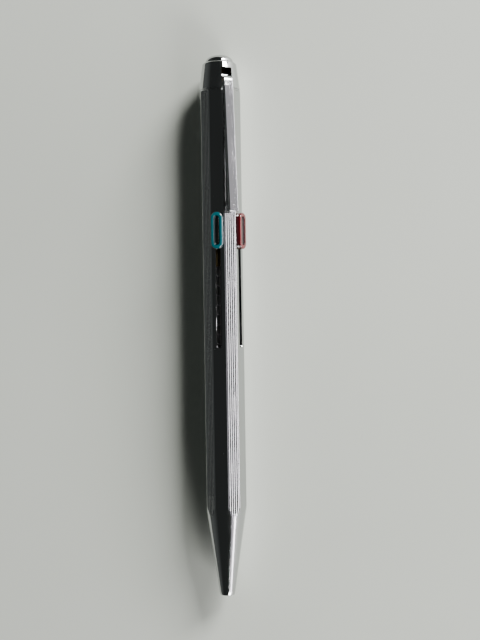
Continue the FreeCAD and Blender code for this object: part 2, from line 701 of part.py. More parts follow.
def make_carrier(colour, turn, refill_turn):
    body = new_body(f"{colour}_carrier", turn=turn)
    lean = f"(({refill_turn}) - ({turn}))"
    side, depth = f"refill_offset * sin({lean})", f"refill_offset * cos({lean})"
    sketch = section_sketch(body, "block_section", CARRIER_FRONT)
    circle(sketch, "carrier_radius", side, depth)
    pad_rearwards(body, "block", sketch, f"{CARRIER_REAR} - {CARRIER_FRONT}")
    sketch = section_sketch(body, "neck_section", NECK_FRONT)
    half = "neck_width / 2"
    rectangle(sketch, f"-{half}", half, depth, "barrel_apothem + neck_reach")
    pad_rearwards(body, "neck", sketch, NECK_LENGTH)
    sketch = section_sketch(body, "socket_section", CARRIER_FRONT)
    circle(sketch, "refill_radius + socket_gap", side, depth)
    feature(body, "Pocket", "socketing", sketch, "socket_depth + socket_gap")
    return body


def make_refill(colour, turn):
    tube = refill_body(f"{colour}_refill_tube", turn)
    sketch = new_sketch(tube, "profile", "XY_Plane")
    inner = "refill_radius - refill_wall"
    rectangle(sketch, inner, "refill_radius", TUBE_FRONT, REFILL_REAR)
    feature(tube, "Revolution", "turning", sketch)

    nib = refill_body(f"{colour}_nib", turn)
    rim = f"{NIB_TIP} + ball_show"
    plug_rear = f"{TUBE_FRONT} + nib_plug_length"
    outside = [("nib_front_radius", rim), ("nib_cone_radius", f"{NIB_TIP} + nib_cone_start")]
    outside += [("nib_shank_radius", f"{NIB_TIP} + nib_shank_start")]
    outside += [("nib_shank_radius", TUBE_FRONT), (f"{inner} - press_gap", TUBE_FRONT)]
    outside += [(f"{inner} - press_gap", plug_rear)]
    cup = "ball_radius + ball_gap"
    inside = [("nib_channel_radius", plug_rear), ("nib_channel_radius", f"{rim} + nib_cup_depth")]
    inside += [(cup, f"{rim} + nib_cup_depth"), (cup, rim)]
    sketch = new_sketch(nib, "profile", "XY_Plane")
    outline(sketch, outside + inside)
    feature(nib, "Revolution", "turning", sketch)

    ball = doc.addObject("Part::Sphere", f"{colour}_writing_ball")
    ball.Label = f"{colour}_writing_ball"
    ball.setExpression("Radius", bound("ball_radius"))
    around = f"({LYING_ANGLE} + {turn})"
    side = f"{AXIS_SIDE} + refill_offset * sin({around})"
    height = f"{AXIS_HEIGHT} + refill_offset * cos({around})"
    place(ball, side, f"{NIB_TIP} + ball_radius", height)
    doc.recompute()

    spring = refill_body(f"{colour}_spring", turn)
    sketch = new_sketch(spring, "wire", "XY_Plane")
    margin = "(spring_wire_radius + spring_end_gap)"
    circle(sketch, "spring_wire_radius", "spring_radius", f"{GUIDE_REAR} + {margin}")
    rise = f"({CARRIER_FRONT} - {GUIDE_REAR} - 2 * {margin})"
    coil(spring, sketch, f"{rise} / spring_coils", rise)
    return [tube, nib, ball, spring]


def make_colour_sets():
    pieces = []
    for colour, (turn, refill_turn) in COLOURS.items():
        pieces.append(make_button(colour, turn))
        pieces.append(make_grip(colour, turn))
        pieces.append(make_carrier(colour, turn, refill_turn))
        pieces += make_refill(colour, refill_turn)
    return pieces


def check(pieces):
    """Stops the script if a feature failed or a piece is not one sound solid."""
    for item in doc.Objects:
        if "Invalid" in item.State or "Error" in item.State:
            raise RuntimeError(f"{item.Label} failed: {item.State}")
    for piece in pieces:
        shape = piece.Shape
        if shape.isNull() or not shape.isValid() or len(shape.Solids) != 1:
            raise RuntimeError(f"{piece.Label} is not one valid solid")


pieces = make_barrel() + make_inner_frame() + make_cap() + make_clip_seat() + make_clip()
pieces += make_colour_sets()
doc.recompute()
check(pieces)
os.makedirs("parts", exist_ok=True)
for piece in pieces:
    piece.Shape.exportStep(f"parts/{piece.Label}.step")
print(f"{len(pieces)} pieces, {sum(piece.Shape.Volume for piece in pieces):.1f} mm3")
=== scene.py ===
"""A chromed pocket ball pen with three colour sliders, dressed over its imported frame.

Every piece is drawn about the pen's own axis: +Y from the writing end towards the cap, with the
writing end at 0, and +Z towards the clip. The pen then lies down as the frame has it: on its black
slider and one long edge of the barrel.
"""

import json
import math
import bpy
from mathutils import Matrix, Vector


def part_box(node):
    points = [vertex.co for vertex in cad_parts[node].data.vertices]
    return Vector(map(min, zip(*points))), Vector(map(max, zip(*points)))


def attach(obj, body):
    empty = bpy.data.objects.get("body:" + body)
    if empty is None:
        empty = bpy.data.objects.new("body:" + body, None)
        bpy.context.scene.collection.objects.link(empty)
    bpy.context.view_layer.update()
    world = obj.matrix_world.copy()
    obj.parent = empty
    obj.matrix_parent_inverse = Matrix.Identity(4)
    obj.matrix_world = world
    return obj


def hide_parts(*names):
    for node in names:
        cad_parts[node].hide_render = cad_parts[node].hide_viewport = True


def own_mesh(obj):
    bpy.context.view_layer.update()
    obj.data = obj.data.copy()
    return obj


bl_info = {
    "name": "Slider Pen",
    "version": (1, 0, 0),
    "blender": (4, 5, 0),
    "location": "View3D > Sidebar > Slider Pen",
    "description": "Builds a chromed three-colour slider pen and the table it lies on",
    "category": "Object",
}

import bmesh
import bpy
from bpy.props import FloatProperty, FloatVectorProperty, IntProperty, PointerProperty
from mathutils import Matrix, Vector

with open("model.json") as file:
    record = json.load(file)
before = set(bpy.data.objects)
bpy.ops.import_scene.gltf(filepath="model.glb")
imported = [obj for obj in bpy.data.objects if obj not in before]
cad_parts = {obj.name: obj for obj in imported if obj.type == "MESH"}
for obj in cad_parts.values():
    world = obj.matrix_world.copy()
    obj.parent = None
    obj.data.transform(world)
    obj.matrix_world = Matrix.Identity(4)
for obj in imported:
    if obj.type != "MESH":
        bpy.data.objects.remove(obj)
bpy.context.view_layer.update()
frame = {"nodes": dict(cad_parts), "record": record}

MM = 0.001
JOINTS = {joint["name"]: joint for joint in frame["record"]["behaviour"]["joints"]}
EYE_HEIGHT = 2.4 * MM  # the clip's eye above the pen's axis
EYE_SET = 3.35 * MM  # the eye behind the cap's front
EYE_SIDE = 0.9 * MM  # half the eye's width
CLIP_REACH = 34.9 * MM  # from the eye to the clip's free end
PLATE_DEPTH = 0.35 * MM  # a grip plate below its crest
TUBE_REAR = 89.5 * MM
BUTTON_OVERHANG = 8.1 * MM  # a button's rear end behind its refill's
SPRING_SEAT = 49 * MM  # station that the return springs are pressed against
CLIP_PIVOT = JOINTS["clip_lift"]["pos_m"]
PIN_DIRECTION = JOINTS["clip_lift"]["axis"]
LYING_ANGLE = math.atan2(PIN_DIRECTION[2], -PIN_DIRECTION[0])
BARREL_FRONT, BARREL_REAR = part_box("barrel")[0][1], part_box("barrel")[1][1]
BARREL_LENGTH = BARREL_REAR - BARREL_FRONT
PEN_AXIS = Vector((
    CLIP_PIVOT[0] - EYE_HEIGHT * math.sin(LYING_ANGLE),
    BARREL_FRONT,
    CLIP_PIVOT[2] - EYE_HEIGHT * math.cos(LYING_ANGLE),
))
LYING = Matrix.Translation(PEN_AXIS) @ Matrix.Rotation(LYING_ANGLE, 4, "Y")

# each colour's slider and refill, as turns about the pen's axis from the clip
COLOURS = {"blue": (-36, -60), "red": (36, 60), "black": (180, 180)}
FACETS = 10
CORNER = math.radians(180 / FACETS)

# the camera: its turn about the pen's axis from the clip's facet, its lean about its own line of
# sight, its distance, how far it aims beside the axis, and the place along +Y that it aims at
CAMERA_TURN, CAMERA_LEAN = math.radians(24.4), math.radians(0.905)
CAMERA_DISTANCE, CAMERA_SHIFT, CAMERA_STATION = 0.2772, 0.00429, 0.0013
CAMERA_LENS, CAMERA_SENSOR = 60.75, 36

# the window's panes: name, watts, size across and size along the pen's direction, place, the
# point each one faces, colour
PANES = (
    ("low pane", 9, 0.15, 1.5, (0.9, -0.2, 0.135), (0, -0.2, 0), (1.0, 0.96, 1.0)),
    ("back pane", 35, 0.42, 0.4, (0.74, 0.72, 0.38), (0, 0, 0), (1.0, 1.0, 0.98)),
    ("front pane", 14, 0.42, 0.45, (0.68, -0.80, 0.36), (0, 0, 0), (1.0, 1.0, 0.98)),
)
TABLE_REACH = 1.2  # from the middle of the table to each of its edges


# ---------------------------------------------------------------- sizes and colours


def size(label, text, mm):
    """A length, given in millimetres."""
    return FloatProperty(name=label, description=text, default=mm * MM, unit="LENGTH", precision=6)


def tint(label, text, colour):
    """A colour, linear."""
    return FloatVectorProperty(
        name=label, description=text, default=colour, subtype="COLOR", size=3, min=0, max=1
    )


class BarrelSizes(bpy.types.PropertyGroup):
    """The faceted barrel, its nose, ribs and slots"""

    apothem: size("Facet distance", "From the pen's axis to each facet", 5.09)
    corner: size("Edge rounding", "Radius of the ten long edges", 0.45)
    bore: size("Bore radius", "Radius of the inside", 4.4)
    tip: size("Tip radius", "Radius of the nose at its front end", 1.85)
    opening: size("Opening radius", "Radius of the hole that the nibs come out of", 1.35)
    tip_round: size("Rim rounding", "Rounding of the nose's front rim", 0.25)
    taper: FloatProperty(name="Taper", description="The nose's growth of radius", default=0.152)
    shoulder: size("Shoulder blend", "Softness of the line where the nose meets the facets", 0.035)
    rib_pitch: size("Rib pitch", "Distance between grooves", 0.56)
    rib_width: size("Groove width", "Width of a groove between two ribs", 0.32)
    rib_depth: size("Groove depth", "Depth of a groove", 0.13)
    ribs: IntProperty(name="Grooves", description="Grooves on a ribbed facet", default=6)
    slot_radius: size("Slot half width", "Half the width of a slider's slot", 0.6)
    slot_front: size("Slot front", "Station of the slots' front ends", 63.4)
    slot_rear: size("Slot rear", "Station of the slots' rear ends", 97.5)


class CapSizes(bpy.types.PropertyGroup):
    """The ring, the cap, its window and the end dome"""

    seam: size("Ring width", "Width of the ring between barrel and cap", 0.45)
    ring_radius: size("Ring radius", "Outside of the ring", 5.2)
    radius: size("Front radius", "Radius of the cap at its front end", 5.25)
    rear_radius: size("Rear radius", "Radius of the cap at its shoulder", 4.35)
    shoulder: size("Shoulder", "Shoulder behind the cap's front", 6.75)
    length: size("Length", "End web behind the cap's front", 7.15)
    inside: size("Inner radius", "Radius of the hollow", 3.62)
    window_set: size("Window start", "Clip window behind the cap's front", 1.55)
    window_length: size("Window length", "Length of the clip window", 3.7)
    window_width: size("Window width", "Width of the clip window", 2.8)
    dome_radius: size("Dome radius", "Radius of the end dome at its foot", 3.55)
    dome_rise: size("Dome rise", "Height of the end dome", 1.9)


class ClipSizes(bpy.types.PropertyGroup):
    """The clip and its foot"""

    width: size("Width", "Width of the clip", 2.65)
    thickness: size("Thickness", "Thickness of the clip's face", 0.42)
    wall: size("Side wall", "Thickness of the clip's sides", 0.35)
    rounding: size("Shoulder rounding", "Rounding of the long outer edges", 0.3)
    end_depth: size("End depth", "Depth of the sides at the free end", 1.3)
    end_height: size("End height", "Top of the free end above the facet", 2.9)
    neck_height: size("Neck height", "Top of the clip above the facet at the cap's front", 0.8)
    foot_radius: size("Foot radius", "Radius of the foot under the free end", 0.92)


class SliderSizes(bpy.types.PropertyGroup):
    """The buttons and their grip plates"""

    length: size("Length", "Length of a button", 9.3)
    width: size("Width", "Width of a button", 3.1)
    rise: size("Rise", "Top of a button above its facet", 1.3)
    rounding: size("Rim rounding", "Rounding of the outer rim", 0.35)
    grip_length: size("Grip length", "Length of the metal plate", 7.3)
    grip_width: size("Grip width", "Width of the metal plate", 1.46)
    grip_drop: size("Grip drop", "Plate's crest below the rim", 0.3)
    grip_crown: size("Grip crown", "How far the plate falls away to its edges", 0.25)
    ridges: IntProperty(name="Ridges", description="Ridges across a plate", default=9)
    ridge_pitch: size("Ridge pitch", "Distance between ridges", 0.72)


class RefillSizes(bpy.types.PropertyGroup):
    """The refills and their return springs"""

    offset: size("Offset", "A refill's axis from the pen's axis", 2.7)
    nib_front: size("Nib front", "Station of the nib's rim at rest", 22.77)
    nib_length: size("Nib length", "Length of the nib in front of the tube", 21.23)
    tube_radius: size("Tube radius", "Outside of the ink tube", 1.15)
    tube_rear: size("Tube rear", "Station of the tube's rear end", TUBE_REAR / MM)
    ball: size("Ball radius", "Radius of the writing ball", 0.35)
    spring_radius: size("Spring radius", "Radius of the return spring's wire line", 1.375)
    spring_wire: size("Spring wire", "Radius of the spring's wire", 0.125)
    spring_front: size("Spring front", "Station of the spring's front end", 49.05)
    spring_rear: size("Spring rear", "Station of the spring's rear end", 83.95)
    coils: FloatProperty(name="Coils", description="Turns of a return spring", default=14)


class Finishes(bpy.types.PropertyGroup):
    """Colours of the materials"""

    chrome: tint("Chrome", "Plated outside", (0.5, 0.505, 0.51))
    # each slider's colour where painted shade falls; its finish mixes it into a painted glow at the rim
    blue: tint("Blue slider", "Tinted plastic, deep", (0.0, 0.01, 0.015))
    red: tint("Red slider", "Tinted plastic, deep", (0.012, 0.0, 0.0004))
    black: tint("Black slider", "Plastic, deep", (0.006, 0.006, 0.008))
    brass: tint("Brass", "Turned inner pieces", (0.62, 0.42, 0.17))
    steel: tint("Steel", "Pins and wires", (0.42, 0.42, 0.44))
    nylon: tint("Nylon", "Guides", (0.62, 0.59, 0.51))
    table: tint("Table", "The surface the pen lies on", (0.63, 0.66, 0.60))


# ---------------------------------------------------------------- node graphs


class Signal:
    """A socket that takes part in plain arithmetic; each sum adds its own Math node."""

    def __init__(self, graph, socket):
        self.graph, self.socket = graph, socket

    def __add__(self, other):
        return self.graph.math("ADD", self, other)

    def __sub__(self, other):
        return self.graph.math("SUBTRACT", self, other)

    def __rsub__(self, other):
        return self.graph.math("SUBTRACT", other, self)

    def __mul__(self, other):
        return self.graph.math("MULTIPLY", self, other)

    def __truediv__(self, other):
        return self.graph.math("DIVIDE", self, other)

    def __rtruediv__(self, other):
        return self.graph.math("DIVIDE", other, self)

    __radd__ = __add__
    __rmul__ = __mul__


class Graph:
    """Adds nodes to a shader or geometry tree."""

    def __init__(self, tree):
        self.tree = tree

    def node(self, kind, settings=None, sockets=None, output=0):
        """A node with its settings made first, then its sockets' values or links."""
        made = self.tree.nodes.new(kind)
        for key, setting in (settings or {}).items():
            setattr(made, key, setting)
        for key, given in (sockets or {}).items():
            if isinstance(given, Signal):
                self.tree.links.new(given.socket, made.inputs[key])
            else:
                made.inputs[key].default_value = given
        return Signal(self, made.outputs[output])

    def math(self, operation, *values):
        """A Math node on numbers and signals."""
        return self.node("ShaderNodeMath", {"operation": operation}, dict(enumerate(values)))

    def split(self, vector):
        """The x, y and z of a vector."""
        apart = self.node("ShaderNodeSeparateXYZ", None, {0: vector}).socket.node
        return [Signal(self, socket) for socket in apart.outputs]

    def mix_colour(self, factor, first, second):
        """The first colour at 0, the second at 1."""
        sockets = {0: factor, 6: opaque(first), 7: opaque(second)}
        return self.node("ShaderNodeMix", {"data_type": "RGBA"}, sockets, output=2)

    def noise(self, scale, detail, roughness=0.5, turn=(0, 0, 0)):
        """Noise over the piece, its scale per millimetre along each axis."""
        place = self.stretched(scale, turn)
        sockets = {"Vector": place, "Scale": 1.0, "Detail": detail, "Roughness": roughness}
        return self.node("ShaderNodeTexNoise", None, sockets)

    def ramp(self, factor, low, high):
        """0 below low, 1 above high."""
        sockets = {"Value": factor, "From Min": low, "From Max": high}
        return self.node("ShaderNodeMapRange", None, sockets)

    def stretched(self, scale, turn=(0, 0, 0)):
        """The piece's own coordinates in millimetres, scaled along each axis."""
        place = self.node("ShaderNodeTexCoord", output=3)
        sockets = {"Vector": place, "Scale": tuple(1000 * s for s in scale), "Rotation": turn}
        return self.node("ShaderNodeMapping", None, sockets)


def opaque(colour):
    """A colour with its alpha; a signal as it is."""
    return colour if isinstance(colour, Signal) else (*colour, 1.0)


def new_finish(name):
    """A material, its graph and its shader node."""
    material = bpy.data.materials.new(name)
    material.use_nodes = True
    graph = Graph(material.node_tree)
    return material, graph, material.node_tree.nodes["Principled BSDF"]


def feed(graph, shader, **signals):
    """Sets or links the shader's inputs by name."""
    for key, given in signals.items():
        socket = shader.inputs[key.replace("_", " ").title()]
        if isinstance(given, Signal):
            graph.tree.links.new(given.socket, socket)
        else:
            socket.default_value = given


def bumped(graph, height, strength, depth):
    """A normal from a height signal."""
    sockets = {"Height": height, "Strength": strength, "Distance": depth}
    return graph.node("ShaderNodeBump", None, sockets)


def chrome_finish(name, colour, wear=1.0):
    """Polished plate with hair scratches, a film of finger marks and a few pits."""
    material, graph, shader = new_finish(name)
    hairs = 0
    for turn, scale in ((0.04, 9), (-0.3, 6), (0.5, 5), (1.2, 4)):
        line = graph.noise((scale, 0.16, scale), 1.0, turn=(turn, 0.3 * turn, turn))
        hairs = graph.ramp(line, 0.67, 0.71) * (0.5 if turn > 1 else 1.0) + hairs
    film = graph.noise((0.12, 0.05, 0.12), 4.0, 0.62)
    marks = graph.ramp(film, 0.45, 0.75)
    pits = graph.node(
        "ShaderNodeTexVoronoi", {"feature": "DISTANCE_TO_EDGE"},
        {"Vector": graph.stretched((0.9, 0.9, 0.9)), "Scale": 1.0},
    )
    speck = 1 - graph.ramp(graph.noise((2.2, 2.2, 2.2), 2.0), 0.2, 0.27)
    dulled = marks * 0.10 * wear + hairs * 0.05 * wear + speck * 0.25 * wear
    rough = dulled + 0.035
    darker = tuple(0.55 * c for c in colour)
    base = graph.mix_colour(speck * 0.7 * wear + marks * 0.08, colour, darker)
    uneven = hairs * -0.5 + film * 0.6 + graph.ramp(pits, 0.0, 0.02) * 0.15
    normal = bumped(graph, uneven, 0.10 * wear, 0.00002)
    feed(graph, shader, base_color=base, roughness=rough, metallic=1.0, normal=normal)
    return material


def tinted_finish(name, deep, painted_glow):
    """Glossy tinted plastic, with a painted glow at the top of a button's rim and painted shade down its
    recess and at its foot; the tint is a little uneven.
    """
    material, graph, shader = new_finish(name)
    # painted light: a point attribute, 1 at the top of the rim and 0 on the recess floor, mixes the deep
    # colour as painted shade into the glow colour as painted glow; the noise is real unevenness of the
    # tint
    painted_light = graph.node("ShaderNodeAttribute", {"attribute_name": "painted_light"}, output=2)
    flow = graph.noise((0.5, 0.25, 0.5), 3.0)
    amount = graph.ramp(painted_light + flow * 0.35, 0.2, 1.15)
    base = graph.mix_colour(amount, deep, painted_glow)
    lines = graph.noise((7, 0.3, 7), 1.0, turn=(0.2, 0, 0.2))
    hairs = graph.ramp(lines, 0.62, 0.68)
    dust = graph.noise((4, 4, 4), 4.0)
    rough = hairs * 0.12 + dust * 0.08 + 0.06
    normal = bumped(graph, flow + hairs * -0.3, 0.25, 0.00003)
    feed(graph, shader, base_color=base, roughness=rough, normal=normal)
    feed(graph, shader, coat_weight=1.0, coat_roughness=0.04)
    return material


def turned_finish(name, colour, roughness, pitch=9.0):
    """Fine tool rings along the pen, with uneven tarnish."""
    material, graph, shader = new_finish(name)
    rings = graph.noise((0.02, pitch, 0.02), 2.0)
    tarnish = graph.noise((0.35, 0.2, 0.35), 5.0, 0.6)
    cloud = graph.ramp(tarnish, 0.42, 0.75)
    base = graph.mix_colour(cloud * 0.75, colour, tuple(0.5 * c for c in colour))
    rough = rings * 0.16 + cloud * 0.18 + roughness
    normal = bumped(graph, rings + tarnish * 0.3, 0.35, 0.00003)
    feed(graph, shader, base_color=base, roughness=rough, metallic=1.0, normal=normal)
    return material


def moulded_finish(name, colour, roughness):
    """Dull nylon with a fine grain and slight yellowing."""
    material, graph, shader = new_finish(name)
    grain = graph.noise((6, 6, 6), 4.0)
    age = graph.noise((0.2, 0.2, 0.2), 3.0)
    older = (colour[0], 0.88 * colour[1], 0.66 * colour[2])
    base = graph.mix_colour(graph.ramp(age, 0.35, 0.7), colour, older)
    normal = bumped(graph, grain, 0.4, 0.00004)
    feed(graph, shader, base_color=base, roughness=grain * 0.2 + roughness, normal=normal)
    return material


def table_finish(name, colour):
    """Matt board with a fine grain and broad, faint shading."""
    material, graph, shader = new_finish(name)
    broad = graph.noise((0.012, 0.012, 0.012), 3.0)
    grain = graph.noise((3, 3, 3), 5.0, 0.6)
    amount = graph.ramp(broad, 0.3, 0.7) * 0.5 + graph.ramp(grain, 0.3, 0.7) * 0.12
    base = graph.mix_colour(amount, colour, tuple(0.88 * c for c in colour))
    normal = bumped(graph, grain, 0.12, 0.00005)
    feed(graph, shader, base_color=base, roughness=grain * 0.1 + 0.5, normal=normal)
    return material


FINISHES = {}


def finishes():
    """Every finish by its slot's name, made once."""
    if FINISHES:
        return FINISHES
    chosen = bpy.context.scene.pen_finishes
    chrome, steel, brass = tuple(chosen.chrome), tuple(chosen.steel), tuple(chosen.brass)
    FINISHES.update({
        "bright_chrome": chrome_finish("polished chrome", chrome),
        # chrome dimmed to about a third, as painted shade, for the plates sunk in the buttons' recesses
        "grip_chrome": chrome_finish("grip plate chrome in painted shade", tuple(0.32 * c for c in chrome), 1.4),
        # the second colour of each plastic is its painted glow at the top of the rim
        "blue_plastic": tinted_finish("blue tinted plastic", chosen.blue, (0.0, 0.055, 0.066)),
        "red_plastic": tinted_finish("red tinted plastic", chosen.red, (0.1, 0.004, 0.007)),
        "black_plastic": tinted_finish("black plastic", chosen.black, (0.03, 0.03, 0.035)),
        "guide_plastic": moulded_finish("moulded nylon", tuple(chosen.nylon), 0.4),
        "inner_brass": turned_finish("turned brass", brass, 0.16),
        "nib_brass": turned_finish("polished nib brass", (0.72, 0.5, 0.22), 0.08, pitch=14),
        # the refill tubes, seen only through the slots, are darkened as painted shade of the barrel's
        # inside
        "refill_metal": turned_finish("drawn tube darkened as painted shade", (0.09, 0.09, 0.09), 0.3, pitch=2),
        # brass darkened as painted shade, for inner pieces seen only inside the pen
        "dark_brass": turned_finish("brass darkened as painted shade", (0.06, 0.045, 0.022), 0.3),
        "inner_steel": turned_finish("turned steel", steel, 0.14),
        "spring_steel": turned_finish("spring wire", tuple(0.3 * c for c in steel), 0.3, pitch=5),
    })
    return FINISHES


# ---------------------------------------------------------------- shapes


def arc(centre, radius, start, end, steps):
    """Points on a circle from start to end, in degrees."""
    turns = [math.radians(start + (end - start) * i / steps) for i in range(steps + 1)]
    return [(centre[0] + radius * math.cos(t), centre[1] + radius * math.sin(t)) for t in turns]


def rounded(corners, steps=5):
    """A closed outline of (x, y, radius) corners, each corner an arc of that radius."""
    outline = []
    for number, (x, y, radius) in enumerate(corners):
        here = Vector((x, y))
        before = Vector(corners[number - 1][:2]) - here
        after = Vector(corners[(number + 1) % len(corners)][:2]) - here
        if radius <= 0 or before.length < 1e-9 or after.length < 1e-9:
            outline.append((x, y))
            continue
        before.normalize()
        after.normalize()
        half = before.angle(after) / 2
        reach = radius / math.tan(half)
        centre = here + (before + after).normalized() * (radius / math.sin(half))
        first, last = here + before * reach - centre, here + after * reach - centre
        sweep = math.atan2(first.x * last.y - first.y * last.x, first.dot(last))
        for step in range(steps + 1):
            turned = Matrix.Rotation(sweep * step / steps, 2) @ first
            outline.append(tuple(centre + turned))
    return outline


def skin(rows, loop=False, caps=True):
    """Points and faces between rows that each go once round."""
    count = len(rows[0])
    points = [point for row in rows for point in row]
    faces = []
    for row in range(len(rows) if loop else len(rows) - 1):
        low, high = row * count, (row + 1) % len(rows) * count
        for column in range(count):
            after = (column + 1) % count
            faces.append((low + column, low + after, high + after, high + column))
    if caps and not loop:
        faces.append(tuple(range(count)))
        faces.append(tuple(range(len(points) - count, len(points))))
    return points, faces


def lathe(profile, turns=128):
    """A closed (radius, station) outline turned about the pen's axis."""
    rows = []
    for turn in range(turns):
        angle = 2 * math.pi * turn / turns
        rows.append([(r * math.sin(angle), s, r * math.cos(angle)) for r, s in profile])
    return skin(rows, loop=True)


def stadium(radius, straight, height, middle=0.0, steps=20):
    """A slot-shaped loop lying across +Z, its long way along the pen."""
    right = arc((0, middle + straight), radius, 0, 180, steps)
    left = arc((0, middle - straight), radius, 180, 360, steps)
    return [(x, y, height) for x, y in right + left]


def new_object(name, points, faces):
    """A closed-up mesh object in the scene."""
    mesh = bpy.data.meshes.new(name)
    mesh.from_pydata([tuple(p) for p in points], [], faces)
    made = bpy.data.objects.new(name, mesh)
    bpy.context.scene.collection.objects.link(made)
    close_up(made)
    return made


def close_up(piece):
    """Merges doubled points and turns the faces outwards."""
    work = bmesh.new()
    work.from_mesh(piece.data)
    bmesh.ops.remove_doubles(work, verts=work.verts, dist=2e-7)
    bmesh.ops.dissolve_degenerate(work, edges=work.edges, dist=1e-7)
    bmesh.ops.recalc_face_normals(work, faces=work.faces)
    work.to_mesh(piece.data)
    work.free()


def settle(piece):
    """Turns a piece with its modifiers into a plain mesh."""
    bpy.context.view_layer.update()
    graph = bpy.context.evaluated_depsgraph_get()
    mesh = bpy.data.meshes.new_from_object(piece.evaluated_get(graph), depsgraph=graph)
    old = piece.data
    piece.modifiers.clear()
    piece.data = mesh
    bpy.data.meshes.remove(old)


def cut(piece, points, faces):
    """Takes a closed shape out of a piece."""
    tool = new_object("cutter", points, faces)
    carve = piece.modifiers.new("cut", "BOOLEAN")
    carve.operation, carve.solver, carve.object = "DIFFERENCE", "EXACT", tool
    settle(piece)
    bpy.data.objects.remove(tool)


def join(piece, *others):
    """Adds other objects' shells to a piece."""
    work = bmesh.new()
    for item in (piece, *others):
        work.from_mesh(item.data)
    work.to_mesh(piece.data)
    work.free()
    for item in others:
        bpy.data.objects.remove(item)


def placing(turn, reach):
    """From a shape drawn about +Y to its place in the frame, turned and moved out from the axis."""
    around = Matrix.Rotation(math.radians(turn), 4, "Y") @ Matrix.Translation((0, 0, reach))
    return LYING @ around


def dress(piece, slot, body, nodes, turn=0.0, reach=0.0, sharp=28.0):
    """Lays a drawn piece in the frame, smooths its curves and gives it its finish and body."""
    piece.data.transform(placing(turn, reach))
    close_up(piece)
    for face in piece.data.polygons:
        face.use_smooth = True
    piece.data.set_sharp_from_angle(angle=math.radians(sharp))
    weigh = piece.modifiers.new("even", "WEIGHTED_NORMAL")
    weigh.mode, weigh.weight, weigh.keep_sharp = "FACE_AREA", 50, True
    settle(piece)
    piece.data.materials.clear()
    piece.data.materials.append(finishes()[slot])
    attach(piece, body)
    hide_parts(*nodes)


def geometry_tree(name, inputs):
    """An empty modifier tree with named inputs."""
    tree = bpy.data.node_groups.new(name, "GeometryNodeTree")
    tree.is_modifier = True
    face = tree.interface
    face.new_socket("Geometry", in_out="INPUT", socket_type="NodeSocketGeometry")
    for label, kind, _ in inputs:
        face.new_socket(label, in_out="INPUT", socket_type=f"NodeSocket{kind}")
    face.new_socket("Geometry", in_out="OUTPUT", socket_type="NodeSocketGeometry")
    graph = Graph(tree)
    source = tree.nodes.new("NodeGroupInput")
    given = {socket.name: Signal(graph, socket) for socket in source.outputs if socket.name}
    return tree, graph, given


def run_tree(piece, tree, graph, shape, inputs, slot):
    """Ends the tree, runs it on the piece with its inputs set and keeps the result."""
    real = graph.node("GeometryNodeRealizeInstances", None, {0: shape})
    done = graph.node("GeometryNodeSetMaterial", None, {0: real, 2: finishes()[slot]})
    sink = tree.nodes.new("NodeGroupOutput")
    tree.links.new(done.socket, sink.inputs[0])
    modifier = piece.modifiers.new(tree.name, "NODES")
    modifier.node_group = tree
    sockets = [item for item in tree.interface.items_tree if item.in_out == "INPUT"]
    named = {item.name: item.identifier for item in sockets}
    for label, _, given in inputs:
        modifier[named[label]] = given
    settle(piece)
    bpy.data.node_groups.remove(tree)


# ---------------------------------------------------------------- pieces


def facet_columns(sizes):
    """Points across one ribbed facet, its edge, one plain facet and the next edge."""
    flat = (sizes.apothem - sizes.corner) * math.tan(CORNER)
    hem = 0.03 * MM
    ribbed = [(-flat, 0.0), (hem - flat, 0.0)]
    for number in range(sizes.ribs):
        middle = sizes.rib_pitch * (number - (sizes.ribs - 1) / 2)
        for step in range(-4, 5):
            fall = sizes.rib_depth * (1 + math.cos(math.pi * step / 4)) / 2
            room = flat - 0.04 * MM - abs(middle) if step * middle > 0 else flat
            ribbed.append((middle + min(sizes.rib_width / 2, room) * step / 4, -fall))
    ribbed += [(flat - hem, 0.0), (flat, 0.0)]
    plain = [(-flat, 0.0), (hem - flat, 0.0)]
    plain += [(flat * (2 * step / 18 - 1), 0.0) for step in range(1, 18)]
    plain += [(flat - hem, 0.0), (flat, 0.0)]
    columns = []
    for facet, across in enumerate((ribbed, plain)):
        turn = 2 * CORNER * facet
        for side, rise in across:
            reach = sizes.apothem + rise
            columns.append((
                reach * math.sin(turn) + side * math.cos(turn),
                reach * math.cos(turn) - side * math.sin(turn),
            ))
        edge = (sizes.apothem - sizes.corner) / math.cos(CORNER)
        for step in range(1, 8):
            lean = turn + 2 * CORNER * step / 8
            middle = turn + CORNER
            columns.append((
                edge * math.sin(middle) + sizes.corner * math.sin(lean),
                edge * math.cos(middle) + sizes.corner * math.cos(lean),
            ))
    turn = 4 * CORNER
    columns.append((
        sizes.apothem * math.sin(turn) - flat * math.cos(turn),
        sizes.apothem * math.cos(turn) + flat * math.sin(turn),
    ))
    return columns


def barrel_sector(sizes):
    """One fifth of the barrel's wall: each row runs back along it and home down the bore."""
    nose = [s * MM for s in (0.3, 1, 4, 8, 12, 16, 18.5)]
    blend = [(18.6 + 0.1 * step) * MM for step in range(66)]  # where nose and facets meet
    stations = nose + blend + [25.6 * MM, 26 * MM, 60 * MM, 100 * MM]
    rear, bore_front = BARREL_LENGTH, 21.33 * MM
    taper_lean, lip = -8.6, 0.1 * MM
    rows = []
    for x, z in facet_columns(sizes):
        reach = math.hypot(x, z)
        soft = sizes.tip_round
        rim = arc((sizes.tip - soft, soft), soft, -90, taper_lean, 6)
        inner_rim = arc((sizes.opening + lip, lip), lip, 180, 270, 4)
        run = inner_rim + rim + [(reach, s) for s in stations]
        run += [(reach, rear - 0.12 * MM), (reach - 0.03 * MM, rear - 0.03 * MM)]
        run += [(reach - 0.12 * MM, rear), (sizes.bore, rear)]
        run += [(sizes.bore, 100 * MM), (sizes.bore, bore_front)]
        rows.append([(r * x / reach, s, r * z / reach) for r, s in run])
    return skin(rows, caps=False)


